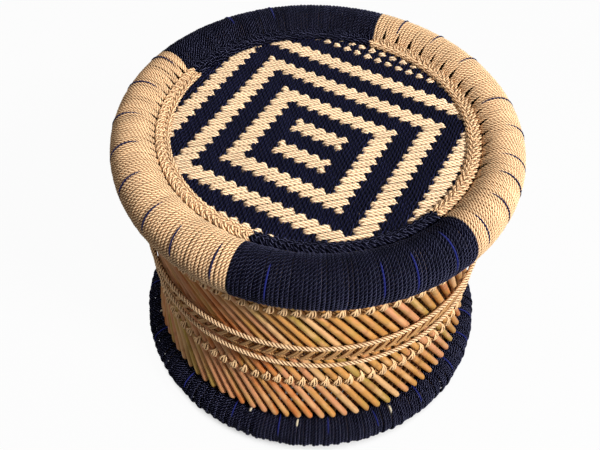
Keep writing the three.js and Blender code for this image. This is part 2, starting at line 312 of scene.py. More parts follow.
def round_axis(radius, turn, height):
    """Places at a radius, an angle and a height round the Z axis."""
    parts = radius * np.cos(turn), radius * np.sin(turn), height
    return np.stack(np.broadcast_arrays(*parts), axis=-1)


def from_axis(places):
    """Level directions from the Z axis towards places."""
    return unit(places * (1 - UP))


def smooth_step(value, start, end):
    """0 before start, 1 after end, and an even climb between them."""
    share = np.clip((value - start) / (end - start), 0, 1)
    return share * share * (3 - 2 * share)


def path_frame(path, outward):
    """Outward and sideways directions along a path, both square to it."""
    tangent = unit(np.gradient(path, axis=0))
    dot = np.sum(outward * tangent, axis=1, keepdims=True)
    normal = unit(outward - dot * tangent)
    return normal, np.cross(tangent, normal)


def path_length(path):
    """Distance along a path from its start to each of its points."""
    steps = np.linalg.norm(np.diff(path, axis=0), axis=1)
    return np.concatenate([[0], np.cumsum(steps)])


def resample(path, step):
    """The path again, with points an even step apart."""
    along = path_length(path)
    count = max(int(round(along[-1] / step)), 2)
    places = np.linspace(0, along[-1], count + 1)
    return np.stack([np.interp(places, along, path[:, i]) for i in range(3)], axis=1)


def round_rings(path, normal, side, radius, turn):
    """Rings of points at a radius round a path."""
    return path[:, None, :] + radius[:, None, None] * (
        np.cos(turn)[:, None] * normal[:, None, :] + np.sin(turn)[:, None] * side[:, None, :]
    )


def add_laid_cord(draft, path, outward, diameter, lay, strands=3, hollow=0.3, wide=1.0,
                  tall=1.0, tone=0.0, start=0.0):
    """A cord whose strands stand out as ridges that turn round it once every lay."""
    normal, side = path_frame(path, outward)
    sides = 2 * strands
    phase = math.tau * path_length(path) / lay + start
    turn = phase[:, None] + math.tau * np.arange(sides) / sides
    # 1 on each strand's ridge and 0 in the groove between strands; the cord finishes paint shade
    # where it is low
    crest = np.where(np.arange(sides) % 2 == 0, 1.0, 0.0)
    reach = diameter / 2 * (1 - hollow * (1 - crest))
    across = np.broadcast_to(wide, len(path))[:, None, None]
    rings = path[:, None, :] + reach[:, None] * (
        np.cos(turn)[..., None] * normal[:, None, :] * tall
        + np.sin(turn)[..., None] * side[:, None, :] * across
    )
    tones = np.broadcast_to(np.asarray(tone, dtype=float), len(path))[:, None]
    draft.add_tube(rings, crest=crest[None, :], tone=tones)


def tone_and_start(rng):
    """A laid cord's own tone, and where its strands start, in radians."""
    return {"tone": rng.uniform(-1, 1), "start": rng.uniform(0, 6)}


def add_round_cord(draft, path, outward, diameter, tone=0.0):
    """A plain round cord, whose diameter may change along it."""
    normal, side = path_frame(path, outward)
    turn = math.tau * np.arange(ROUND_SIDES) / ROUND_SIDES
    radius = np.broadcast_to(diameter, len(path)) / 2
    # Highest on the outward face and lowest behind: the cord finishes paint shade on the sides
    # and back from it
    crest = ROUND_PAINTED_SHADING + ROUND_PAINTED_SHADING_SWING * np.cos(turn)
    rings = round_rings(path, normal, side, radius, turn)
    draft.add_tube(rings, crest=crest[None, :], tone=tone)


def add_rope(draft, path, outward, diameter, lay, strands=3):
    """A rope of separate round strands laid round each other."""
    normal, side = path_frame(path, outward)
    strand = diameter / (1 + 1 / math.sin(math.pi / strands))
    swing = (diameter - strand) / 2
    phase = math.tau * path_length(path) / lay
    for i in range(strands):
        turn = (phase + math.tau * i / strands)[:, None]
        away = np.cos(turn) * normal + np.sin(turn) * side
        add_round_cord(draft, path + swing * away, away, strand * STRAND_PRESS)


# Rings and their windings

# Slow waves in one round of a ring
WAVES_ROUND = (31, 97, 118)
# Tube degrees in which the crowding of turns grows, and between which it ends
CROWDING_GROWS = 30
CROWDING_ENDS = (215, 260)
# How far a turn strays, in turns, and its shares of the pile and of the pull of a pleat
TURN_STRAY = 0.1
PILE_SHARES = (-0.4, 1)
PLEAT_PULLS = (0.8, 1.6)
# Half the bundles in one round of the foot, and how their edges drift
HALF_BUNDLES = 60
BUNDLE_DRIFT = 0.9
BUNDLE_DRIFTS_ROUND = 7
# Width of a wound cord against its pitch, and the widths that it keeps between
CORD_FILL = 1.14
CORD_WIDTHS = (0.66, 1.1)
WOUND_HOLLOW = 0.25
# A thread's lean in degrees, and its depth, ends and ripples as shares of its diameter
THREAD_POINTS = 48
THREAD_LEAN = 0.5
THREAD_INSET = 0.05
THREAD_DIVE = 1.6
THREAD_END = 0.35
THREAD_RIPPLE = 0.15
THREAD_RIPPLES = (9, 13)


class Ring:
    """An oval tube bent round the Z axis, such as the rim or the foot ring."""

    def __init__(self, nodes, width):
        boxes = [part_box(node) for node in nodes]
        outside = max(box[1][0] for box in boxes)
        low = min(box[0][2] for box in boxes)
        high = max(box[1][2] for box in boxes)
        self.half = width / 2
        self.major = outside - self.half
        self.rise = max((high - low) / 2, self.half)
        self.level = high - self.rise

    def points(self, turn, around, inset):
        """Places on the tube: turn goes round the stool, around goes round the tube."""
        radius = self.major + (self.half - inset) * np.cos(around)
        height = self.level + (self.rise - inset) * np.sin(around)
        return round_axis(radius, turn, height)

    def outward(self, turn, around):
        """Directions straight out of the tube."""
        return unit(round_axis(np.cos(around) / self.half, turn, np.sin(around) / self.rise))


def slow_waves(turn, rng, height):
    """A gentle unevenness along a ring, the same each time for the same seed."""
    phases = rng.uniform(0, math.tau, len(WAVES_ROUND))
    waves = sum(np.sin(count * turn + phase) for count, phase in zip(WAVES_ROUND, phases))
    return height * waves / len(WAVES_ROUND)


def wind(draft, ring, sizes, start, end, lump, rng, gather=0, pleat_from=110, bundle=0.0,
         steps_per_lay=8):
    """Winds one cord round a ring, its turns gathered in pleats on the inner side."""
    outside = ring.major + ring.half
    turns = int(round((end - start) * outside / sizes.pitch))
    steps = int(round(math.pi * (ring.half + ring.rise) / sizes.lay * steps_per_lay))
    loop = np.arange(turns * steps + 1) / steps
    around = math.pi + math.tau * loop
    over = np.degrees(around) % 360
    crowded = smooth_step(over, pleat_from, pleat_from + CROWDING_GROWS)
    crowded = crowded * (1 - smooth_step(over, *CROWDING_ENDS))

    def along_cord(values):
        """Values given turn by turn, spread evenly along the cord."""
        return np.interp(loop, np.arange(turns + 2), values)

    shift = along_cord(rng.normal(0, TURN_STRAY, turns + 2))
    climb = along_cord(rng.uniform(*PILE_SHARES, turns + 2))
    if gather:
        pull = along_cord(rng.uniform(*PLEAT_PULLS, turns + 2)) / gather
        shift = shift - pull * crowded * ((loop % gather) - gather / 2)
    turn = start + (end - start) / turns * np.clip(loop + shift, 0, turns)
    drift = BUNDLE_DRIFT * np.sin(BUNDLE_DRIFTS_ROUND * turn)
    valley = np.abs(np.sin(HALF_BUNDLES * turn + drift))
    inset = (sizes.cord / 2 * sizes.flatness - sizes.pile * crowded * climb
             - slow_waves(turn, rng, lump) + bundle * (1 - valley) ** 2)
    path = ring.points(turn, around, inset)
    local_pitch = sizes.pitch * np.hypot(path[:, 0], path[:, 1]) / outside
    wide = np.clip(CORD_FILL * local_pitch / sizes.cord, *CORD_WIDTHS)
    tone = along_cord(rng.uniform(-1, 1, turns + 2))
    add_laid_cord(draft, path, ring.outward(turn, around), sizes.cord, sizes.lay,
                  hollow=WOUND_HOLLOW, wide=wide, tall=sizes.flatness, tone=tone)


def lay_thread(draft, ring, sizes, degrees, low, high, rng, swell=1.0):
    """Lays a thread over the tube between two turns, thin where it dives at its ends."""
    share = np.linspace(0, 1, THREAD_POINTS)
    around = np.radians(low + (high - low) * share)
    lean = math.radians(rng.uniform(-THREAD_LEAN, THREAD_LEAN))
    turn = math.radians(degrees) + lean * (share - 0.5)
    full = np.sin(math.pi * share) ** 0.5
    ripple = 1 + THREAD_RIPPLE * np.sin(math.tau * share * rng.uniform(*THREAD_RIPPLES))
    inset = sizes.thread * (THREAD_INSET + THREAD_DIVE * (1 - full)) * swell
    diameter = sizes.thread * (THREAD_END + (1 - THREAD_END) * full) * ripple * swell
    path = ring.points(turn, around, inset)
    add_round_cord(draft, path, ring.outward(turn, around), diameter)


# Materials

# Cord finishes: full colour, deep colour, unevenness, gloss, and the crest height at
# which the deep colour gives way with the width of that change. The deep colour is
# painted shade in the grooves between strands and on the sides of round cords; on the
# navy cords it is also their own dark colour, and their full colour is a painted
# highlight on the strand crests
CORD_FINISHES = {
    "natural cord": ("natural", "natural_groove_shade", 0.1, 0.12, 0.12, 0.5),
    "natural seat cord": ("seat_natural", "natural_groove_shade", 0.08, 0.1, 0.0, 0.5),
    # The navy finishes: a painted highlight on the strand crests over the cords' own dark colour
    "navy cord": ("navy", "navy_body_and_groove_shade", 0.16, 0.02, 0.86, 0.25),
    "navy seat cord": ("seat_navy_highlight", "navy_body_and_groove_shade", 0.1, 0.06, 0.7, 0.5),
    # The knots: a little painted shade, a slightly darker copy of the natural cord
    "knot cord": ("knot", "natural_groove_shade", 0.12, 0.12, 0.1, 0.5),
    # Painted shade on the lacing and the strands between the knots: a darker copy of the natural
    # cord
    "worn cord": ("worn", "natural_groove_shade", 0.1, 0.12, 0.1, 0.5),
}

THREAD_FINISHES = {
    "natural rim thread": "ink_thread", "navy rim thread": "blue_thread",
    "foot thread": "blue_thread", "pale thread end": "thread_end",
}

# Long stains along the reeds: how fine they are each way, and their colour
REED_STAINS = (((38, 2.2, 1), "pale"), ((27, 1.6, 1), "rose"), ((31, 1.9, 1), "olive"))


def linear(colour):
    """A screen colour as the linear values that the nodes take."""
    parts = [c / 12.92 if c <= 0.04045 else ((c + 0.055) / 1.055) ** 2.4 for c in colour]
    return (*parts, 1.0)


def darker(colour, share):
    """A screen colour brought down to a share of itself."""
    return tuple(part * share for part in colour)


class Nodes:
    """A node tree while its nodes are being joined up."""

    def __init__(self, tree):
        self.tree = tree

    def node(self, kind, inputs=(), **settings):
        """A new node with its settings, and its inputs joined or set."""
        node = self.tree.nodes.new(kind)
        for key, value in settings.items():
            setattr(node, key, value)
        for key, value in dict(inputs).items():
            if isinstance(value, bpy.types.NodeSocket):
                self.tree.links.new(value, node.inputs[key])
            else:
                node.inputs[key].default_value = value
        return node

    def combine(self, operation, first, second):
        """Two values joined by an operation such as MULTIPLY."""
        return self.node("ShaderNodeMath", {0: first, 1: second}, operation=operation).outputs[0]

    def show(self, output, share, first, second):
        """Sends two shaders, mixed by a share, to an output node."""
        mixed = self.node("ShaderNodeMixShader", {0: share, 1: first, 2: second}).outputs[0]
        self.tree.links.new(mixed, self.tree.nodes[output].inputs["Surface"])


class Finish(Nodes):
    """A node material while its nodes are being joined up."""

    def __init__(self, name, specular, roughness=0.8):
        self.material = bpy.data.materials.new(name)
        self.material.use_nodes = True
        super().__init__(self.material.node_tree)
        self.shader = self.tree.nodes["Principled BSDF"]
        self.shader.inputs["Roughness"].default_value = roughness
        self.shader.inputs["Specular IOR Level"].default_value = specular

    def carried(self, name, output="Fac"):
        """A value or colour that the mesh carries at each point."""
        return self.node("ShaderNodeAttribute", attribute_name=name).outputs[output]

    def noise(self, scale, detail, where=None, stretch=(1, 1, 1), shift=(0, 0, 0)):
        """Soft noise from 0 to 1, with features of about 1 / scale metres."""
        where = where or self.node("ShaderNodeTexCoord").outputs["Object"]
        inputs = {"Vector": where, "Location": shift, "Scale": stretch}
        where = self.node("ShaderNodeMapping", inputs).outputs["Vector"]
        inputs = {"Vector": where, "Scale": scale, "Detail": detail}
        return self.node("ShaderNodeTexNoise", inputs).outputs["Fac"]

    def fit(self, value, low, high, out_low, out_high):
        """The value moved from one range to another, and held inside it."""
        inputs = {"Value": value, "From Min": low, "From Max": high,
                  "To Min": out_low, "To Max": out_high}
        return self.node("ShaderNodeMapRange", inputs).outputs["Result"]

    def spread(self, noise, out_low, out_high):
        """Noise, which keeps near its middle, spread over a range."""
        return self.fit(noise, 0.3, 0.7, out_low, out_high)

    def mix(self, share, first, second):
        """Two colours mixed by a share; the Mix node's colours are sockets 6, 7 and 2."""
        inputs = {0: share, 6: first, 7: second}
        return self.node("ShaderNodeMix", inputs, data_type="RGBA").outputs[2]

    def brighten(self, colour, value):
        """A colour made brighter or darker by a value round 1."""
        inputs = {"Color": colour, "Value": value}
        return self.node("ShaderNodeHueSaturation", inputs).outputs["Color"]

    def use(self, name, socket):
        """Joins a socket to one of the shader's inputs."""
        self.tree.links.new(socket, self.shader.inputs[name])

    def bump(self, height, distance, strength=0.5):
        """Small relief on the surface, in metres."""
        inputs = {"Height": height, "Distance": distance, "Strength": strength}
        self.use("Normal", self.node("ShaderNodeBump", inputs).outputs["Normal"])


def cord_finish(name, colours):
    """Laid cord with painted shade between its strands and painted highlights on navy crests;
    uneven from turn to turn, with fine fibres.
    """
    full, deep, uneven, gloss, groove, edge = CORD_FINISHES[name]
    finish = Finish(name, gloss)
    fibres = finish.noise(1400, 4)
    patches = finish.noise(38, 2)
    # Painted shade: the deep colour where the crest value is low, in strand grooves and on cord
    # sides
    crest = finish.fit(finish.carried("crest"), groove, groove + edge, 0, 1)
    colour = finish.mix(crest, linear(getattr(colours, deep)), linear(getattr(colours, full)))
    tone = finish.fit(finish.carried("tone"), -1, 1, 1 - uneven, 1 + uneven)
    patch = finish.spread(patches, 1 - uneven, 1 + uneven)
    fibre = finish.fit(fibres, 0.25, 0.75, 0.85, 1.12)
    light = finish.combine("MULTIPLY", finish.combine("MULTIPLY", tone, patch), fibre)
    finish.use("Base Color", finish.brighten(colour, light))
    finish.use("Roughness", finish.spread(fibres, 0.5, 0.75))
    finish.bump(fibres, 0.0002)
    return finish.material


def thread_finish(name, colours):
    """Thin dyed thread, a little worn."""
    colour = getattr(colours, THREAD_FINISHES[name])
    finish = Finish(name, 0.25)
    wear = finish.noise(700, 3)
    worn = finish.fit(wear, 0.5, 0.8, 0, 0.35)
    finish.use("Base Color", finish.mix(worn, linear(colour), linear(darker(colour, 0.4))))
    finish.use("Roughness", finish.spread(wear, 0.6, 0.9))
    return finish.material


def reed_finish(name, colours):
    """Peeled reed: its own tint, long grain, brown blotches and dark cut ends."""
    finish = Finish(name, 0.14)
    along = finish.node("ShaderNodeUVMap", uv_map="grain").outputs["UV"]
    grain = finish.noise(1, 5, along, (25, 9, 1))
    fine = finish.noise(1, 3, along, (90, 26, 1))
    colour = finish.carried("tint", "Color")
    for fineness, stain in REED_STAINS:
        stained = finish.noise(1, 2, along, fineness, fineness)
        stained = finish.fit(stained, 0.52, 0.68, 0, 0.66)
        colour = finish.mix(stained, colour, linear(getattr(colours, stain)))
    dark_grain = finish.fit(grain, 0.3, 0.75, 0, 0.7)
    colour = finish.mix(dark_grain, colour, finish.brighten(colour, 0.66))
    pale_grain = finish.fit(fine, 0.45, 0.8, 0, 0.35)
    colour = finish.mix(pale_grain, colour, linear(colours.pale))
    spots = finish.fit(finish.noise(95, 4), 0.58, 0.74, 0, 0.55)
    marks = finish.combine("MAXIMUM", spots, finish.carried("mark"))
    finish.use("Base Color", finish.mix(marks, colour, linear(colours.blotch)))
    finish.use("Roughness", finish.spread(grain, 0.38, 0.6))
    finish.bump(grain, 0.0004)
    return finish.material


def grass_finish(name, colours):
    """Bundled dry grass, with blades running every way."""
    finish = Finish(name, 0.2)
    blades = finish.noise(260, 5, stretch=(1, 1, 4))
    lit = finish.fit(blades, 0.35, 0.65, 0, 1)
    dark = linear(darker(colours.grass, 0.5))
    finish.use("Base Color", finish.mix(lit, dark, linear(colours.grass)))
    finish.use("Roughness", finish.spread(blades, 0.7, 0.95))
    finish.bump(blades, 0.001, 0.8)
    return finish.material


def material(name):
    """The material of a name, made once."""
    made = bpy.data.materials.get(name)
    if made:
        return made
    makers = {"peeled reed": reed_finish, "grass core": grass_finish}
    makers |= dict.fromkeys(CORD_FINISHES, cord_finish)
    makers |= dict.fromkeys(THREAD_FINISHES, thread_finish)
    return makers[name](name, bpy.context.scene.stool_colours)


# The wall of reeds

# Height of the lower knot row as a share of the open wall
LOWER_KNOTS = 0.314
# A reed's bend and the greatest shift of its grain in metres, and its girth and
# brightness as shares of the usual ones
REED_BEND = 0.00035
GRAIN_SHIFT = 50
REED_GIRTHS = (0.88, 1.02)
REED_SHADES = (0.86, 1.1)
# Where a reed's joint comes and how long it is, as shares of the reed
JOINT_PLACES = (0.15, 0.95)
JOINT_LENGTH = 0.012
JOINT_SWELL = 0.05
JOINT_MARK = 0.6
JOINT_MARKS = (0.2, 1)
# Girth at the very end of a tip, how far its cut slants, and how far the tip runs out
TIP_RINGS = 7
TIP_CLEAR = 1.2
TIP_GIRTH = 0.45
TIP_MARK = 0.5
TIP_CUTS = (0.1, 0.75)
TIP_RUN = 0.2


class Wall:
    """Where the straight reeds of the two crossed layers run."""

    def __init__(self, sizes):
        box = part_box("outer_reeds_01")
        self.low = box[0][2]
        self.high = box[1][2]
        self.sizes = sizes
        self.foot_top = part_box("foot_winding")[1][2]
        self.rim_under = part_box("rim_winding_front_navy")[0][2]

    def level(self, node):
        """Height of the middle of a node."""
        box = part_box(node)
        return (box[0][2] + box[1][2]) / 2

    def lower_knots(self):
        """Height of the lower knot row."""
        return self.foot_top + LOWER_KNOTS * (self.rim_under - self.foot_top)

    def axis(self, layer, turn, height):
        """Places on a reed's axis: layer is 1 for the outer layer, -1 for the inner."""
        inward = 0 if layer > 0 else self.sizes.layer_step
        half = layer * self.sizes.twist / 2
        foot = round_axis(self.sizes.foot_radius - inward, turn + half, self.low)
        head = round_axis(self.sizes.head_radius - inward, turn - half, self.high)
        share = (np.asarray(height) - self.low) / (self.high - self.low)
        return foot + share[..., None] * (head - foot)

    def radius(self, layer, height):
        """Distance of the reeds' axes from the Z axis at a height."""
        point = self.axis(layer, 0, height)
        return math.hypot(point[0], point[1])

    def turn(self, layer, turn, height):
        """The angle round the stool at which a reed crosses a height."""
        point = self.axis(layer, turn, height)
        return math.atan2(point[1], point[0])


class ReedLayer:
    """One layer of reeds while it is being made."""

    def __init__(self, context, name, layer, sides, rings):
        self.name = name
        self.layer = layer
        self.wall = Wall(context.scene.stool_wall)
        self.colours = context.scene.stool_colours
        self.around = math.tau * np.arange(sides) / sides + math.pi
        self.rings = rings
        self.rng = draws(name)
        self.draft = Draft()
        self.tints = []
        self.grain = []

    def tint(self):
        """A reed's own colour, lighter or darker than the one picked for it."""
        pick = self.rng.choice(len(REED_TINTS), p=list(REED_TINTS.values()))
        # The inner layer takes the dark inner colour: painted shade for reeds seen in shade
        # through the gaps
        name = list(REED_TINTS)[pick] if self.layer > 0 else "inner"
        shade = self.rng.uniform(*REED_SHADES)
        colour = linear(getattr(self.colours, name))
        return np.array([*(part * shade for part in colour[:3]), 1.0])

    def heights(self):
        """Heights of a reed's rings, close together in the tip of an outer reed."""
        wall, tip = self.wall, self.wall.sizes.tip
        height = np.linspace(wall.low, wall.high + wall.sizes.overlap, self.rings)
        if self.layer < 0:
            return height
        reach = tip * (1 - np.cos(np.linspace(0, 1, TIP_RINGS) * math.pi / 2))
        return np.concatenate([wall.low + reach, height[height > wall.low + tip * TIP_CLEAR]])

    def add_reed(self, turn):
        """One reed with its bends, its joint and its rounded foot."""
        wall, sizes, rng, around = self.wall, self.wall.sizes, self.rng, self.around
        tint = self.tint()
        height = self.heights()
        path = wall.axis(self.layer, turn, height)
        normal, side = path_frame(path, from_axis(path))
        share = (height - wall.low) / (wall.high - wall.low)
        bend = rng.normal(0, REED_BEND, 2)
        path = path + np.sin(math.pi * share)[:, None] * (bend[0] * normal + bend[1] * side)
        radius = sizes.reed / 2 * rng.uniform(*REED_GIRTHS) * np.ones_like(height)
        mark = np.zeros_like(height)
        from_tip = np.clip((height - wall.low) / sizes.tip, 0, 1)
        if self.layer > 0:
            radius *= TIP_GIRTH + (1 - TIP_GIRTH) * np.sqrt(1 - (1 - from_tip) ** 2)
            mark = TIP_MARK * (1 - smooth_step(from_tip, 0, 0.5))
        near = np.exp(-((share - rng.uniform(*JOINT_PLACES)) / JOINT_LENGTH) ** 2)
        radius *= 1 + JOINT_SWELL * near
        mark = np.maximum(mark, JOINT_MARK * near * rng.uniform(*JOINT_MARKS))
        rings = round_rings(path, normal, side, radius, around)
        if self.layer > 0:
            cut = rng.uniform(*TIP_CUTS) * np.cos(around - rng.uniform(0, math.tau))
            slant = (1 - from_tip)[:, None] * radius[:, None] * cut
            run = sizes.reed * TIP_RUN * (1 - from_tip)[:, None]
            rings = rings + (slant + run)[..., None] * unit(np.gradient(path, axis=0)[-1])
        self.draft.add_tube(rings, mark=mark[:, None])
        along = height - wall.low + rng.uniform(0, GRAIN_SHIFT)
        grain = np.meshgrid(along, around / math.tau, indexing="ij")
        self.grain.append(np.stack(grain, axis=-1).reshape(-1, 2))
        self.tints.append(np.broadcast_to(tint, (rings.shape[0] * rings.shape[1], 4)))

    def piece(self):
        """All the reeds of the layer as one piece."""
        for i in range(self.wall.sizes.reeds):
            self.add_reed(math.tau * i / self.wall.sizes.reeds)
        nodes = [f"{self.name}_{panel + 1:02d}" for panel in range(PANELS)]
        slot = "reed" if self.layer > 0 else "inner_reed"
        mesh = add_piece(self.name, self.draft, "peeled reed", slot, *nodes).data
        tints = np.concatenate(self.tints).astype(np.float32)
        paint_layer = mesh.attributes.new("tint", "FLOAT_COLOR", "POINT")
        paint_layer.data.foreach_set("color", tints.ravel())
        corners = np.empty(len(mesh.loops), dtype=np.int32)
        mesh.loops.foreach_get("vertex_index", corners)
        grain = np.concatenate(self.grain)[corners].astype(np.float32)
        mesh.uv_layers.new(name="grain").data.foreach_set("uv", grain.ravel())


# Operators


def dye(stretch):
    """Natural or navy, from the name of a colour stretch."""
    return stretch.split("_")[1]


class STOOL_OT_wind_rim(bpy.types.Operator):
    """Wind the four colour stretches of the rim and lay the threads in them"""

    bl_idname = "stool.wind_rim"
    bl_label = "Wind Rim"

    # Tube angles in degrees between which a thread's outer end dives in
    outer_ends = (-25, 5)

    def execute(self, context):
        sizes = context.scene.stool_rings
        ring = Ring([f"rim_winding_{name}" for name in STRETCHES], sizes.rim_width)
        for seed, (name, (start, end, _, *pleats)) in enumerate(STRETCHES.items()):
            draft = Draft()
            wind(draft, ring, sizes, math.radians(start), math.radians(end), sizes.rim_lump,
                 draws("rim", seed), *pleats)
            cord, slot, node = f"{dye(name)} cord", f"{dye(name)}_rope", f"rim_winding_{name}"
            add_piece(f"wound_rim_{name}", draft, cord, slot, node)
        self.lay_threads(sizes, ring)
        return {"FINISHED"}

    def lay_threads(self, sizes, ring):
        """Lays the ink threads in the pale cord and the blue ones in the dark."""
        rng = draws("rim threads")
        for kind in ("natural", "navy"):
            draft = Draft()
            for name, places in RIM_THREADS.items():
                for degrees, high in places if dye(name) == kind else ():
                    low = rng.uniform(*self.outer_ends)
                    lay_thread(draft, ring, sizes, degrees, low, high, rng)
            add_piece(f"rim_threads_{kind}", draft, f"{kind} rim thread", f"{kind}_rope")


class STOOL_OT_wind_foot(bpy.types.Operator):
    """Wind the foot ring in two halves and lay its threads"""

    bl_idname = "stool.wind_foot"
    bl_label = "Wind Foot Ring"

    # Fewer than on the rim, to keep each half light enough to export
    steps_per_lay = 7
    # Tube angles in degrees between which threads and pale ends dive in
    outer_ends = (0, 35)
    inner_ends = (78, 110)
    pale_inner_ends = (82, 90)
    pale_swell = 1.8

    def execute(self, context):
        sizes = context.scene.stool_rings
        ring = Ring(["foot_winding"], sizes.foot_width)
        for seed, (name, first) in enumerate((("front", math.pi), ("back", 0))):
            draft = Draft()
            wind(draft, ring, sizes, first, first + math.pi, sizes.foot_lump,
                 draws("foot", seed), bundle=sizes.bundle, steps_per_lay=self.steps_per_lay)
            self.stand(draft)
            add_piece(f"foot_winding_{name}", draft, "navy cord", "navy_rope", "foot_winding")
        blue = Draft()
        rng = draws("foot threads")
        for degrees in FOOT_THREADS:
            low, high = rng.uniform(*self.outer_ends), rng.uniform(*self.inner_ends)
            lay_thread(blue, ring, sizes, degrees, low, high, rng)
        add_piece("foot_threads", blue, "foot thread", "navy_rope")
        pale = Draft()
        for degrees, span in FOOT_PALE_ENDS:
            high = rng.uniform(*self.pale_inner_ends)
            lay_thread(pale, ring, sizes, degrees, high - span, high, rng, self.pale_swell)
        add_piece("foot_thread_ends", pale, "pale thread end", "natural_rope")
        return {"FINISHED"}

    def stand(self, draft):
        """Presses the underside flat on the floor."""
        for points in draft.points:
            points[:, 2] = np.maximum(points[:, 2], 0)


class STOOL_OT_plait_edge(bpy.types.Operator):
    """Plait the cord that lies in the groove between rim and seat"""

    bl_idname = "stool.plait_edge"
    bl_label = "Plait Edge"

    strands = 3
    # In cord widths: where a strand's two cords lie, how wide both are together, and
    # the distance between points along them
    cord_places = (-0.47, 0.47)
    cords_wide = 1.95
    step = 0.4
    # How far the plait is pressed out and down into its groove, and its lean to the rim
    pressed_out = 0.0012
    pressed_down = 0.0008
    lean = 0.25
    hollow = 0.2

    def execute(self, context):
        sizes = context.scene.stool_seat
        for name, (start, end, share, *_) in STRETCHES.items():
            draft = self.plait(sizes, share, math.radians(start), math.radians(end))
            cord, slot, node = f"{dye(name)} cord", f"{dye(name)}_rope", f"seat_plait_{name}"
            add_piece(f"plaited_edge_{name}", draft, cord, slot, node)
        return {"FINISHED"}

    def plait(self, sizes, share, start, end):
        """Three strands of two cords each, swung over and under each other."""
        boxes = [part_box(f"seat_plait_{name}") for name in STRETCHES]
        outside = max(box[1][0] for box in boxes)
        level = (boxes[0][0][2] + boxes[0][1][2]) / 2 - self.pressed_down
        reach = sizes.plait_swing * share
        width = 2 * sizes.plait_swing + self.cords_wide * sizes.plait_cord
        middle = outside - width / 2 + sizes.plait_swing - reach + self.pressed_out
        draft = Draft()
        rng = draws("plait", math.degrees(start))
        run = (end - start) * middle
        turn = np.linspace(start, end, int(run / (sizes.plait_cord * self.step)))
        rounds = max(round(run / sizes.plait_pitch), 1)
        phase = math.tau * rounds * (turn - start) / (end - start)
        for strand in range(self.strands):
            own = phase + math.tau * strand / self.strands
            swing = reach * np.sin(own)
            rise = sizes.plait_rise * np.sin(2 * own) + self.lean * swing
            path = round_axis(middle + swing, turn, level + rise)
            _, side = path_frame(path, UP)
            for cord in self.cord_places:
                shifted = path + cord * sizes.plait_cord * side
                add_laid_cord(draft, shifted, UP, sizes.plait_cord, sizes.plait_lay,
                              hollow=self.hollow, **tone_and_start(rng))
        return draft


class STOOL_OT_weave_seat(bpy.types.Operator):
    """Weave the seat: pale rows over and under dark columns, in nested diamonds"""

    bl_idname = "stool.weave_seat"
    bl_label = "Weave Seat"

    # Crossings from the middle to the first diamond, in one band, and to the dots
    diamonds_from = 2
    band = 3
    dots_from = 26
    # Half the distance within a pair of navy cords, and how far both cords are flattened
    navy_pairing = 0.25
    natural_wide = 1.08
    navy_wide = 1.16
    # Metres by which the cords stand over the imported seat, and by which they stray
    stand_over = 0.0006
    stray = 0.00012
    # Points to a crossing and in the window that rounds a float's ends
    fine_steps = 24
    window_points = 17
    spare_lines = 6
    steps_per_lay = 8

    def execute(self, context):
        sizes = context.scene.stool_seat
        rows = round_axis(sizes.column, sizes.row_turn, 0)[:2]
        columns = round_axis(sizes.row, sizes.column_turn, 0)[:2]
        natural = self.cords(sizes, rows, columns, sizes.natural_cord, True)
        navy = self.cords(sizes, columns, rows, sizes.navy_cord, False)
        add_piece("seat_rows", natural, "natural seat cord", "woven_seat", "woven_seat")
        add_piece("seat_columns", navy, "navy seat cord", "woven_seat", "woven_seat")
        return {"FINISHED"}

    def natural_on_top(self, column, row):
        """Whether the pale cord shows where a column and a row cross."""
        distance = abs(column) + abs(row)
        if distance < self.diamonds_from:
            return False
        unfinished = column * row > 0 and max(abs(column), abs(row)) <= self.diamonds_from
        dotted = distance >= self.dots_from and (column + row) % 2 == 1
        in_band = (distance - self.diamonds_from) // self.band % 2 == 0
        return in_band and not unfinished and not dotted

    def float_heights(self, sizes, line, fine, span, natural):
        """Along one line, 1 where its cord is on top and -1 where it is under."""
        cells = range(-span, span + 1)
        if natural:
            tops = [self.natural_on_top(cell, line) for cell in cells]
        else:
            tops = [not self.natural_on_top(line, cell) for cell in cells]
        levels = np.where(tops, 1.0, -1.0)
        reached = [levels[np.clip(np.rint(fine + tuck).astype(int) + span, 0, 2 * span)]
                   for tuck in (-sizes.tuck, 0, sizes.tuck)]
        state = np.min(reached, axis=0) if natural else np.max(reached, axis=0)
        window = np.hanning(self.window_points)
        return np.convolve(state, window / window.sum(), mode="same")

    def cords(self, sizes, along, across, diameter, natural):
        """Pairs of cords in one direction, each riding over or under the others."""
        draft = Draft()
        rng = draws("seat rows" if natural else "seat columns")
        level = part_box("woven_seat")[1][2] - diameter / 2 - sizes.rise + self.stand_over
        middle = np.array([sizes.middle_x, sizes.middle_y])
        pairing = sizes.pairing if natural else self.navy_pairing
        wide = self.natural_wide if natural else self.navy_wide
        span = int(sizes.reach / np.linalg.norm(along)) + self.spare_lines
        fine = np.linspace(-span, span, 2 * span * self.fine_steps + 1)
        for line in range(-span, span + 1):
            floats = self.float_heights(sizes, line, fine, span, natural)
            for half in (-pairing, pairing):
                spot = middle + fine[:, None] * along + (line + half) * across
                radius = np.hypot(spot[:, 0], spot[:, 1])
                kept = radius < sizes.reach
                if kept.sum() < self.fine_steps:
                    continue
                dip = sizes.dip * smooth_step(radius, sizes.flat, sizes.reach)
                height = level + sizes.rise * floats - dip + rng.normal(0, self.stray)
                path = np.column_stack([spot, height])[kept]
                path = resample(path, sizes.lay / self.steps_per_lay)
                add_laid_cord(draft, path, UP, diameter, sizes.lay, wide=wide,
                              **tone_and_start(rng))
        return draft


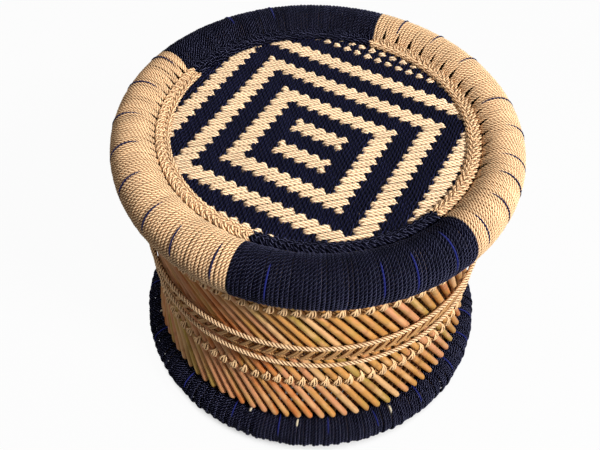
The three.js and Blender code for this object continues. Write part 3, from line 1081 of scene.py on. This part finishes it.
class STOOL_OT_stand_reeds(bpy.types.Operator):
    """Stand the two crossed layers of reeds between foot ring and rim"""

    bl_idname = "stool.stand_reeds"
    bl_label = "Stand Reeds"

    def execute(self, context):
        ReedLayer(context, "outer_reeds", 1, sides=12, rings=34).piece()
        ReedLayer(context, "inner_reeds", -1, sides=8, rings=14).piece()
        return {"FINISHED"}


class STOOL_OT_tie_knots(bpy.types.Operator):
    """Tie each outer reed with a small fan of wraps, and run the cord between them"""

    bl_idname = "stool.tie_knots"
    bl_label = "Tie Knots"

    wraps = 4
    wrap_points = 24
    wrap_girths = (0.9, 1.1)
    wrap_tones = (-0.3, 1)
    # Degrees round the reed: a wrap's run, where the first and the next ones climb, how
    # unevenly, and half the length of a climb
    wrap_run = (-110, 118)
    first_climb = -44
    next_climb = 33
    climb_stray = 5
    half_climb = 42
    # Metres: how the wraps part at their foot and head, how far one stands off where it
    # climbs and settles after, and how far wraps, knots and running strands stray
    foot_start = 0.0004
    foot_step = 0.0007
    head_step = 0.0005
    stand_off = 0.0012
    settle = 0.0004
    wrap_stray = 0.0003
    stray = 0.0006
    strand_cross = 0.0012
    points_per_reed = 12
    strand_tone = 0.2

    def execute(self, context):
        wall = Wall(context.scene.stool_wall)
        for seed, (name, level, nodes) in enumerate((
            ("upper", wall.level("upper_knot_cord"), ("upper_knot_cord",)),
            ("lower", wall.lower_knots(), ()),
        )):
            knots = self.knots(wall, level, draws("knots", seed))
            add_piece(f"{name}_knots", knots, "knot cord", "natural_rope", *nodes)
            strands = self.strands(wall, level)
            # The strands between the knots are painted in shade, darker than the natural cord
            add_piece(f"{name}_knot_strands", strands, "worn cord", "natural_rope")
        return {"FINISHED"}

    def knots(self, wall, level, rng):
        """One row of knots, one to each reed."""
        draft = Draft()
        for i in range(wall.sizes.reeds):
            height = level + rng.normal(0, self.stray)
            self.fan(draft, wall, math.tau * i / wall.sizes.reeds, height, rng)
        return draft

    def strands(self, wall, level):
        """The two strands that run from knot to knot, one before and one behind each reed."""
        sizes = wall.sizes
        draft = Draft()
        count = sizes.reeds * self.points_per_reed
        turn = np.linspace(0, math.tau, count, endpoint=False)
        phase = (turn - wall.turn(1, 0, level)) * sizes.reeds / 2
        for side in (1, -1):
            swing = (sizes.reed / 2 + sizes.knot_cord / 2) * np.cos(phase) * side
            height = level + self.strand_cross * side * np.sin(phase)
            path = round_axis(wall.radius(1, level) + swing, turn, height)
            add_laid_cord(draft, path, from_axis(path), sizes.knot_cord, sizes.knot_lay,
                          strands=2, tone=self.strand_tone * side)
        return draft

    def fan(self, draft, wall, turn, level, rng):
        """Wraps that start together low on one side of a reed and climb in a fan."""
        sizes = wall.sizes
        middle = wall.axis(1, turn, level)
        along = unit(wall.axis(1, turn, level + sizes.reed) - middle)
        outward = from_axis(middle)
        outward = unit(outward - np.dot(outward, along) * along)
        across = np.cross(along, outward)
        degrees = np.linspace(*self.wrap_run, self.wrap_points)[:, None]
        around = np.radians(degrees)
        reach = (sizes.reed + sizes.knot_cord) / 2
        for wrap in range(self.wraps):
            halfway = self.first_climb + self.next_climb * wrap + rng.normal(0, self.climb_stray)
            climb = smooth_step(degrees, halfway - self.half_climb, halfway + self.half_climb)
            spread = ((1 - climb) * (self.foot_start - self.foot_step * wrap)
                      + climb * self.head_step * wrap)
            lift = sizes.knot_height * (climb - 0.5) + spread + rng.normal(0, self.wrap_stray)
            swell = reach + self.stand_off * np.sin(np.pi * climb) - self.settle * climb
            path = middle + swell * (np.cos(around) * outward + np.sin(around) * across)
            path = path + lift * along
            diameter = sizes.knot_cord * rng.uniform(*self.wrap_girths)
            tone = rng.uniform(*self.wrap_tones)
            add_round_cord(draft, path, path - middle, diameter, tone)


class STOOL_OT_rope_waist(bpy.types.Operator):
    """Run the laid waist ropes round the wall and hang the lacing from the upper one"""

    bl_idname = "stool.rope_waist"
    bl_label = "Rope Waist"

    rope_points = 700
    strand_points = 900
    rung_points = 15
    rung_bulge = 0.0012
    # In reed pitches: how far round a rung is at shares of its fall, how far apart its
    # two cords lie and how far they stray; the window rounds its bend
    rung_falls = (0, 0.22, 1)
    rung_leans = (0.35, 0.8, -0.15)
    rung_window = (0.25, 0.5, 0.25)
    rung_pair = 0.23
    rung_stray = 0.03

    def execute(self, context):
        wall = Wall(context.scene.stool_wall)
        for node in ("upper_waist_rope", "lower_waist_rope", "inner_waist_rope"):
            rope = self.rope(wall, node)
            add_piece(f"laid_{node}", rope, "natural cord", "natural_rope", node)
        lacing = self.lacing(wall)
        # The lacing is painted in shade, darker than the natural cord
        add_piece("laid_waist_lacing", lacing, "worn cord", "natural_rope", "waist_lacing")
        inner = self.inner_strand(wall)
        add_piece("inner_knot_strand", inner, "natural cord", "natural_rope")
        return {"FINISHED"}

    def rope(self, wall, node):
        """A waist rope where its node lies."""
        sizes = wall.sizes
        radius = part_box(node)[1][0] - sizes.rope / 2
        draft = Draft()
        path = round_axis(radius, np.linspace(0, math.tau, self.rope_points), wall.level(node))
        add_rope(draft, path, from_axis(path), sizes.rope, sizes.rope_lay)
        return draft

    def add_strand(self, draft, wall, radius, level, diameter):
        """A thin two-ply cord run once round the wall."""
        path = round_axis(radius, np.linspace(0, math.tau, self.strand_points), level)
        add_laid_cord(draft, path, from_axis(path), diameter, wall.sizes.knot_lay, strands=2)

    def lacing(self, wall):
        """Bent rungs of doubled cord, one to each reed, hung from the upper rope."""
        sizes = wall.sizes
        rng = draws("lacing")
        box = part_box("waist_lacing")
        top = box[1][2]
        low = box[0][2]
        middle = wall.radius(1, top) + sizes.reed / 2 + sizes.lacing_cord / 2
        draft = Draft()
        share = np.linspace(0, 1, self.rung_points)
        lean = np.interp(share, self.rung_falls, self.rung_leans)
        lean = np.convolve(np.pad(lean, 1, mode="edge"), self.rung_window, mode="valid")
        for i in range(sizes.reeds):
            for strand in (0, 1):
                stray = self.rung_stray * rng.normal()
                turn = (i + lean + self.rung_pair * strand + stray) * math.tau / sizes.reeds
                radius = middle + np.sin(math.pi * share) * self.rung_bulge
                path = round_axis(radius, turn, top + (low - top) * share)
                add_round_cord(draft, path, from_axis(path), sizes.lacing_cord,
                               tone=rng.uniform(-1, 1))
        self.add_strand(draft, wall, middle, low, sizes.lacing_cord)
        return draft

    def inner_strand(self, wall):
        """The strand of the lower knot row that runs inside the inner reeds."""
        sizes = wall.sizes
        level = wall.lower_knots()
        radius = wall.radius(-1, level) - sizes.reed / 2 - sizes.knot_cord / 2
        draft = Draft()
        self.add_strand(draft, wall, radius, level, sizes.knot_cord)
        return draft


class STOOL_OT_dress_cores(bpy.types.Operator):
    """Give the two hoops under the windings their dry grass finish"""

    bl_idname = "stool.dress_cores"
    bl_label = "Dress Cores"

    def execute(self, context):
        for node in ("rim_core", "foot_core"):
            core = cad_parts[node]
            for holder in core.material_slots:
                holder.material = material("grass core")
        return {"FINISHED"}


class STOOL_OT_set_stage(bpy.types.Operator):
    """Lay the floor, light the stool from the front right and set the camera"""

    bl_idname = "stool.set_stage"
    bl_label = "Set Stage"

    floor_size = 8.0
    # The camera sees the floor white where enough of the sky is open above it
    sky_distance = 0.34
    sky_open = (0.12, 0.5)
    floor_white = 0.96
    # Each lamp's place, size and power, and the place that all of them face
    lamp_list = {
        "key lamp": ((1.1, -0.92, 1.55), 0.4, 52),
        "back lamp": ((0.4, 1.4, 1.5), 1.2, 5),
        "left lamp": ((-0.8, 0.1, 1.8), 1.0, 7),
    }
    lamp_target = (0, 0, 0.15)
    world_strength = 0.075
    camera_distance = 0.8785
    camera_target = (0.0, 0.0, 0.1015)
    camera_tilt = math.radians(51.845)
    camera_roll = math.radians(-2.716)
    camera_sensor = 36
    camera_lens = 44.08
    camera_shift = (-0.0217, 0.0502)

    def execute(self, context):
        scene = context.scene
        scene.view_settings.view_transform = "Standard"
        self.floor(scene)
        self.lamps(scene)
        self.world(scene)
        self.camera(scene)
        return {"FINISHED"}

    def floor(self, scene):
        """A wide floor, white to the camera and grey to the light that it throws back."""
        half = self.floor_size / 2
        corners = [(-half, -half, 0), (half, -half, 0), (half, half, 0), (-half, half, 0)]
        mesh = bpy.data.meshes.new("floor")
        mesh.from_pydata(corners, [], [(0, 1, 2, 3)])
        finish = Finish("floor", 0.1, roughness=0.9)
        tint = finish.fit(finish.noise(3, 2), 0, 1, 0.985, 1.0)
        finish.use("Base Color", finish.brighten(linear(scene.stool_colours.floor), tint))
        rays = finish.node("ShaderNodeLightPath").outputs["Is Camera Ray"]
        glow = finish.node("ShaderNodeEmission", {"Color": WHITE, "Strength": 1})
        sky = finish.node("ShaderNodeAmbientOcclusion", {"Distance": self.sky_distance})
        white = finish.fit(sky.outputs["AO"], *self.sky_open, 0, self.floor_white)
        share = finish.combine("MULTIPLY", rays, white)
        finish.show("Material Output", share, finish.shader.outputs[0], glow.outputs[0])
        mesh.materials.append(finish.material)
        floor = bpy.data.objects.new("floor", mesh)
        scene.collection.objects.link(floor)

    def lamps(self, scene):
        """Soft square lamps."""
        for name, (spot, size, power) in self.lamp_list.items():
            lamp = bpy.data.lights.new(name, "AREA")
            lamp.size = size
            lamp.energy = power
            holder = bpy.data.objects.new(name, lamp)
            holder.location = spot
            aim = Vector(self.lamp_target) - Vector(spot)
            holder.rotation_euler = aim.to_track_quat("-Z", "Y").to_euler()
            scene.collection.objects.link(holder)

    def world(self, scene):
        """Dim white light, seen as full white by the camera, in metal and through glass."""
        world = bpy.data.worlds.new("studio")
        world.use_nodes = True
        nodes = Nodes(world.node_tree)
        light = nodes.tree.nodes["Background"]
        light.inputs["Color"].default_value = WHITE
        light.inputs["Strength"].default_value = self.world_strength
        seen = nodes.node("ShaderNodeBackground", {"Color": WHITE, "Strength": 1})
        rays = nodes.node("ShaderNodeLightPath").outputs
        share = nodes.combine("MAXIMUM", rays["Is Camera Ray"], rays["Is Glossy Ray"])
        share = nodes.combine("MAXIMUM", share, rays["Is Transmission Ray"])
        nodes.show("World Output", share, light.outputs[0], seen.outputs[0])
        scene.world = world

    def camera(self, scene):
        """The photograph's view: its tilt, slight roll, lens and framing."""
        data = bpy.data.cameras.new("camera")
        data.sensor_width = self.camera_sensor
        data.lens = self.camera_lens
        data.shift_x, data.shift_y = self.camera_shift
        data.clip_start = 0.01
        camera = bpy.data.objects.new("camera", data)
        camera.matrix_world = (
            Matrix.Translation(self.camera_target)
            @ Matrix.Rotation(math.pi / 2 - self.camera_tilt, 4, "X")
            @ Matrix.Rotation(-self.camera_roll, 4, "Z")
            @ Matrix.Translation((0, 0, self.camera_distance))
        )
        scene.collection.objects.link(camera)
        scene.camera = camera


class STOOL_PT_panel(bpy.types.Panel):
    """Sizes, colours and buttons of the stool"""

    bl_idname = "STOOL_PT_panel"
    bl_label = "Reed Stool"
    bl_space_type = "VIEW_3D"
    bl_region_type = "UI"
    bl_category = "Stool"

    def draw(self, context):
        layout = self.layout
        for operator in OPERATORS:
            layout.operator(operator.bl_idname)
        for group in GROUPS:
            box = layout.box()
            for name in GROUPS[group].__annotations__:
                box.prop(getattr(context.scene, group), name)


OPERATORS = (
    STOOL_OT_set_stage,
    STOOL_OT_wind_foot,
    STOOL_OT_stand_reeds,
    STOOL_OT_tie_knots,
    STOOL_OT_rope_waist,
    STOOL_OT_wind_rim,
    STOOL_OT_plait_edge,
    STOOL_OT_weave_seat,
    STOOL_OT_dress_cores,
)
GROUPS = {
    "stool_rings": StoolRings,
    "stool_seat": StoolSeat,
    "stool_wall": StoolWall,
    "stool_colours": StoolColours,
}


def register():
    for group in GROUPS.values():
        bpy.utils.register_class(group)
    for name, group in GROUPS.items():
        setattr(bpy.types.Scene, name, bpy.props.PointerProperty(type=group))
    for operator in OPERATORS:
        bpy.utils.register_class(operator)
    bpy.utils.register_class(STOOL_PT_panel)


def unregister():
    bpy.utils.unregister_class(STOOL_PT_panel)
    for operator in reversed(OPERATORS):
        bpy.utils.unregister_class(operator)
    for name in GROUPS:
        delattr(bpy.types.Scene, name)
    for group in reversed(GROUPS.values()):
        bpy.utils.unregister_class(group)


def main():
    """Builds the whole stool."""
    register()
    bpy.ops.stool.set_stage()
    bpy.ops.stool.wind_foot()
    bpy.ops.stool.stand_reeds()
    bpy.ops.stool.tie_knots()
    bpy.ops.stool.rope_waist()
    bpy.ops.stool.wind_rim()
    bpy.ops.stool.plait_edge()
    bpy.ops.stool.weave_seat()
    bpy.ops.stool.dress_cores()


if __name__ == "__main__":
    main()
